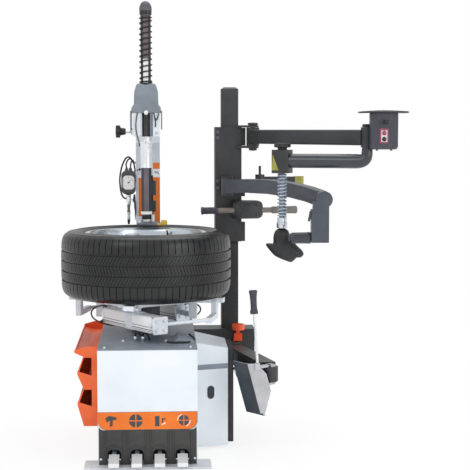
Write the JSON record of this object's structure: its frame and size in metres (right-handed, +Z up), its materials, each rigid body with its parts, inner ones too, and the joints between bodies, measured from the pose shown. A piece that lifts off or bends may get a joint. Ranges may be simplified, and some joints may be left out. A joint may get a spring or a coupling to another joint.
{
  "type": "tire changer",
  "caption": "Workshop tire changer: cabinet with pedals, clamping turntable holding a wheel, tilting column with mount head, help-arm tower and side bead breaker.",
  "frame": {"origin": "on the floor, under the axis of the turntable", "axes": "+Z up, +X to the right and -Y towards the person who stands at the pedals"},
  "size_m": [1.463, 1.302, 1.981],
  "materials": {
    "white_paint": "satin powder coat, cool white",
    "grey_paint": "satin grey paint",
    "dark_paint": "fine textured dark grey powder coat",
    "base_paint": "grey paint on steel plate",
    "slate_paint": "worn grey paint on cast steel",
    "orange_paint": "orange gloss paint",
    "plated_steel": "zinc plated steel",
    "ground_steel": "ground hexagon bar, oiled",
    "spring_steel": "drawn spring wire",
    "bright_chrome": "hard chrome",
    "cylinder_tube": "anodised cylinder tube",
    "wheel_alloy": "machined alloy wheel",
    "grey_iron": "painted grey iron casting",
    "forged_head": "forged steel, dulled by use",
    "tray_plastic": "moulded orange plastic",
    "cover_plastic": "moulded grey cover",
    "dark_plastic": "moulded dark grey plastic",
    "black_plastic": "moulded black plastic",
    "grip_plastic": "soft grip, dark violet grey",
    "handle_plastic": "warm grey grips on painted bar",
    "insert_plastic": "yellow nylon insert",
    "lever_paint": "dark blue dipped lever",
    "pad_rubber": "ribbed black rubber",
    "block_rubber": "moulded hard rubber",
    "hose_rubber": "smooth black rubber hose",
    "belt_rubber": "black drive belt",
    "tyre_rubber": "tread with circumferential grooves"
  },
  "bodies": {
    "chassis": {"base_frame": "base_paint", "cabinet_body": "white_paint", "top_cover": "grey_paint", "side_wing": "white_paint", "pedal_cover": "dark_plastic", "tool_tray": "tray_plastic", "wheel_pad": "pad_rubber", "bucket_holder": "orange_paint", "gearbox": "grey_iron", "motor": "grey_paint", "drive_belt": "belt_rubber", "bead_cylinder": "cylinder_tube", "help_post": "dark_paint", "tilt_barrel": "cylinder_tube"},
    "pedal_1": {"pedal_1": "bright_chrome"},
    "pedal_2": {"pedal_2": "bright_chrome"},
    "pedal_3": {"pedal_3": "bright_chrome"},
    "pedal_4": {"pedal_4": "bright_chrome"},
    "turntable": {"turntable": "white_paint", "wheel_rim": "wheel_alloy", "tyre": "tyre_rubber"},
    "worm_pulley": {"worm_pulley": "plated_steel"},
    "motor_pulley": {"motor_pulley": "plated_steel"},
    "jaw_1": {"jaw_1": "white_paint"},
    "jaw_2": {"jaw_2": "white_paint", "clamp_cylinder_2": "cylinder_tube"},
    "jaw_3": {"jaw_3": "white_paint"},
    "jaw_4": {"jaw_4": "white_paint", "clamp_cylinder_1": "cylinder_tube"},
    "column": {"column": "white_paint", "air_gauge": "black_plastic", "air_gun": "bright_chrome", "air_hose": "hose_rubber"},
    "gun_lever": {"gun_lever": "lever_paint"},
    "tilt_rod": {"tilt_rod": "bright_chrome"},
    "arm": {"horizontal_arm": "white_paint", "arm_cover": "cover_plastic", "shaft_spring": "spring_steel"},
    "star_knob": {"star_knob": "black_plastic"},
    "shaft": {"hex_shaft": "ground_steel", "mount_head": "forged_head", "mount_insert": "insert_plastic"},
    "carriage": {"carriage": "dark_paint", "handle_bar": "handle_plastic"},
    "upper_arm": {"upper_arm": "dark_paint", "control_box": "dark_plastic"},
    "joystick": {"joystick": "black_plastic"},
    "rocker_switch": {"rocker_switch": "black_plastic"},
    "second_arm": {"second_arm": "dark_paint", "press_spring": "plated_steel"},
    "press": {"press_rod": "plated_steel", "press_block": "block_rubber"},
    "mid_arm": {"mid_arm": "dark_paint"},
    "roller_leg": {"roller_leg": "dark_paint"},
    "roller": {"roller": "dark_plastic"},
    "latch_arm": {"latch_arm": "dark_paint"},
    "bead_arm": {"bead_arm": "dark_paint"},
    "bead_rod": {"bead_rod": "bright_chrome"},
    "bead_blade": {"bead_blade": "slate_paint", "blade_handle": "grip_plastic"}
  },
  "joints": [
    {"name": "pedal_1_press", "type": "hinge", "parent": "chassis", "child": "pedal_1", "pos_m": [-0.131, -0.44, 0.078], "axis": [1, 0, 0], "range_deg": [0, 6], "stiffness_Nm_per_rad": 20, "springref_deg": -2.86},
    {"name": "pedal_2_press", "type": "hinge", "parent": "chassis", "child": "pedal_2", "pos_m": [-0.037, -0.44, 0.078], "axis": [1, 0, 0], "range_deg": [0, 6], "stiffness_Nm_per_rad": 20, "springref_deg": -2.86},
    {"name": "pedal_3_press", "type": "hinge", "parent": "chassis", "child": "pedal_3", "pos_m": [0.057, -0.44, 0.078], "axis": [1, 0, 0], "range_deg": [0, 6], "stiffness_Nm_per_rad": 20, "springref_deg": -2.86},
    {"name": "pedal_4_press", "type": "hinge", "parent": "chassis", "child": "pedal_4", "pos_m": [0.151, -0.44, 0.078], "axis": [1, 0, 0], "range_deg": [0, 6], "stiffness_Nm_per_rad": 20, "springref_deg": -2.86},
    {"name": "turntable_spin", "type": "hinge", "parent": "chassis", "child": "turntable", "pos_m": [0, 0, 0.6], "axis": [0, 0, 1], "continuous": true},
    {"name": "worm_pulley_spin", "type": "hinge", "parent": "chassis", "child": "worm_pulley", "pos_m": [-0.1, -0.06, 0.4], "axis": [1, 0, 0], "continuous": true},
    {"name": "motor_pulley_spin", "type": "hinge", "parent": "chassis", "child": "motor_pulley", "pos_m": [-0.1, -0.06, 0.11], "axis": [1, 0, 0], "continuous": true},
    {"name": "jaw_1_slide", "type": "slide", "parent": "turntable", "child": "jaw_1", "axis": [-0.9781, 0.2079, 0], "range_m": [0, 0.036]},
    {"name": "jaw_2_slide", "type": "slide", "parent": "turntable", "child": "jaw_2", "axis": [-0.2079, -0.9781, 0], "range_m": [0, 0.036]},
    {"name": "jaw_3_slide", "type": "slide", "parent": "turntable", "child": "jaw_3", "axis": [0.9781, -0.2079, 0], "range_m": [0, 0.036]},
    {"name": "jaw_4_slide", "type": "slide", "parent": "turntable", "child": "jaw_4", "axis": [0.2079, 0.9781, 0], "range_m": [0, 0.036]},
    {"name": "column_tilt", "type": "hinge", "parent": "chassis", "child": "column", "pos_m": [0.006, 0.45, 0.43], "axis": [-1, 0, 0], "range_deg": [0, 25]},
    {"name": "tilt_rod_slide", "type": "slide", "parent": "chassis", "child": "tilt_rod", "axis": [0, -1, 0], "range_m": [0, 0.09]},
    {"name": "gun_lever_press", "type": "hinge", "parent": "column", "child": "gun_lever", "pos_m": [-0.066, 0.392, 1.058], "axis": [0, 1, 0], "range_deg": [0, 8], "stiffness_Nm_per_rad": 0.5, "springref_deg": -2.86},
    {"name": "arm_slide", "type": "slide", "parent": "column", "child": "arm", "axis": [0, -1, 0], "range_m": [-0.08, 0.15]},
    {"name": "star_knob_turn", "type": "hinge", "parent": "arm", "child": "star_knob", "pos_m": [-0.1, 0.25, 1.384], "axis": [1, 0, 0], "range_deg": [-180, 180]},
    {"name": "shaft_lift", "type": "slide", "parent": "arm", "child": "shaft", "axis": [0, 0, 1], "range_m": [0, 0.17], "deforming": ["shaft_spring"]},
    {"name": "carriage_lift", "type": "slide", "parent": "chassis", "child": "carriage", "axis": [0, 0, 1], "range_m": [-0.04, 0.16]},
    {"name": "upper_arm_swing", "type": "hinge", "parent": "carriage", "child": "upper_arm", "pos_m": [0.495, 0.25, 1.36], "axis": [0, 0, 1], "range_deg": [-20, 0]},
    {"name": "joystick_tilt", "type": "hinge", "parent": "upper_arm", "child": "joystick", "pos_m": [0.974, -0.5575, 1.424], "axis": [1, 0, 0], "range_deg": [-12, 12], "stiffness_Nm_per_rad": 0.4},
    {"name": "rocker_tilt", "type": "hinge", "parent": "upper_arm", "child": "rocker_switch", "pos_m": [0.971, -0.56, 1.366], "axis": [1, 0, 0], "range_deg": [-5, 5], "stiffness_Nm_per_rad": 0.4},
    {"name": "second_arm_swing", "type": "hinge", "parent": "upper_arm", "child": "second_arm", "pos_m": [0.915, -0.478, 1.36], "axis": [0, 0, 1], "range_deg": [-5, 5]},
    {"name": "press_rod_slide", "type": "slide", "parent": "second_arm", "child": "press", "axis": [0, 0, 1], "range_m": [0, 0.1], "stiffness_N_per_m": 400, "springref_m": -0.05, "deforming": ["press_spring"]},
    {"name": "mid_arm_swing", "type": "hinge", "parent": "carriage", "child": "mid_arm", "pos_m": [0.375, 0.235, 1.13], "axis": [0, 0, 1], "range_deg": [0, 45]},
    {"name": "leg_swing", "type": "hinge", "parent": "mid_arm", "child": "roller_leg", "pos_m": [0.741, -0.43, 1.104], "axis": [0, 1, 0], "range_deg": [0, 60]},
    {"name": "roller_spin", "type": "hinge", "parent": "roller_leg", "child": "roller", "pos_m": [0.645, -0.43, 0.943], "axis": [1, 0, 0], "continuous": true},
    {"name": "latch_arm_swing", "type": "hinge", "parent": "carriage", "child": "latch_arm", "pos_m": [0.529, 0.262, 1.16], "axis": [0, 0, 1], "range_deg": [0, 40]},
    {"name": "bead_arm_swing", "type": "hinge", "parent": "chassis", "child": "bead_arm", "pos_m": [0.4, 0.216, 0.354], "axis": [0, 0, 1], "range_deg": [-6, 18]},
    {"name": "bead_rod_slide", "type": "slide", "parent": "chassis", "child": "bead_rod", "axis": [1, 0, 0], "range_m": [-0.012, 0.028]},
    {"name": "blade_swing", "type": "hinge", "parent": "bead_arm", "child": "bead_blade", "pos_m": [0.532, -0.305, 0.35], "axis": [0, 0, 1], "range_deg": [-10, 10]}
  ],
  "couplings": [
    {"joint": "worm_pulley_spin", "follows": "turntable_spin", "ratio": 20},
    {"joint": "motor_pulley_spin", "follows": "turntable_spin", "ratio": 50},
    {"joint": "jaw_2_slide", "follows": "jaw_1_slide", "ratio": 1},
    {"joint": "jaw_3_slide", "follows": "jaw_1_slide", "ratio": 1},
    {"joint": "jaw_4_slide", "follows": "jaw_1_slide", "ratio": 1},
    {"joint": "tilt_rod_slide", "follows": "column_tilt", "m_per_rad": 0.1985},
    {"joint": "bead_rod_slide", "follows": "bead_arm_swing", "m_per_rad": 0.076}
  ]
}
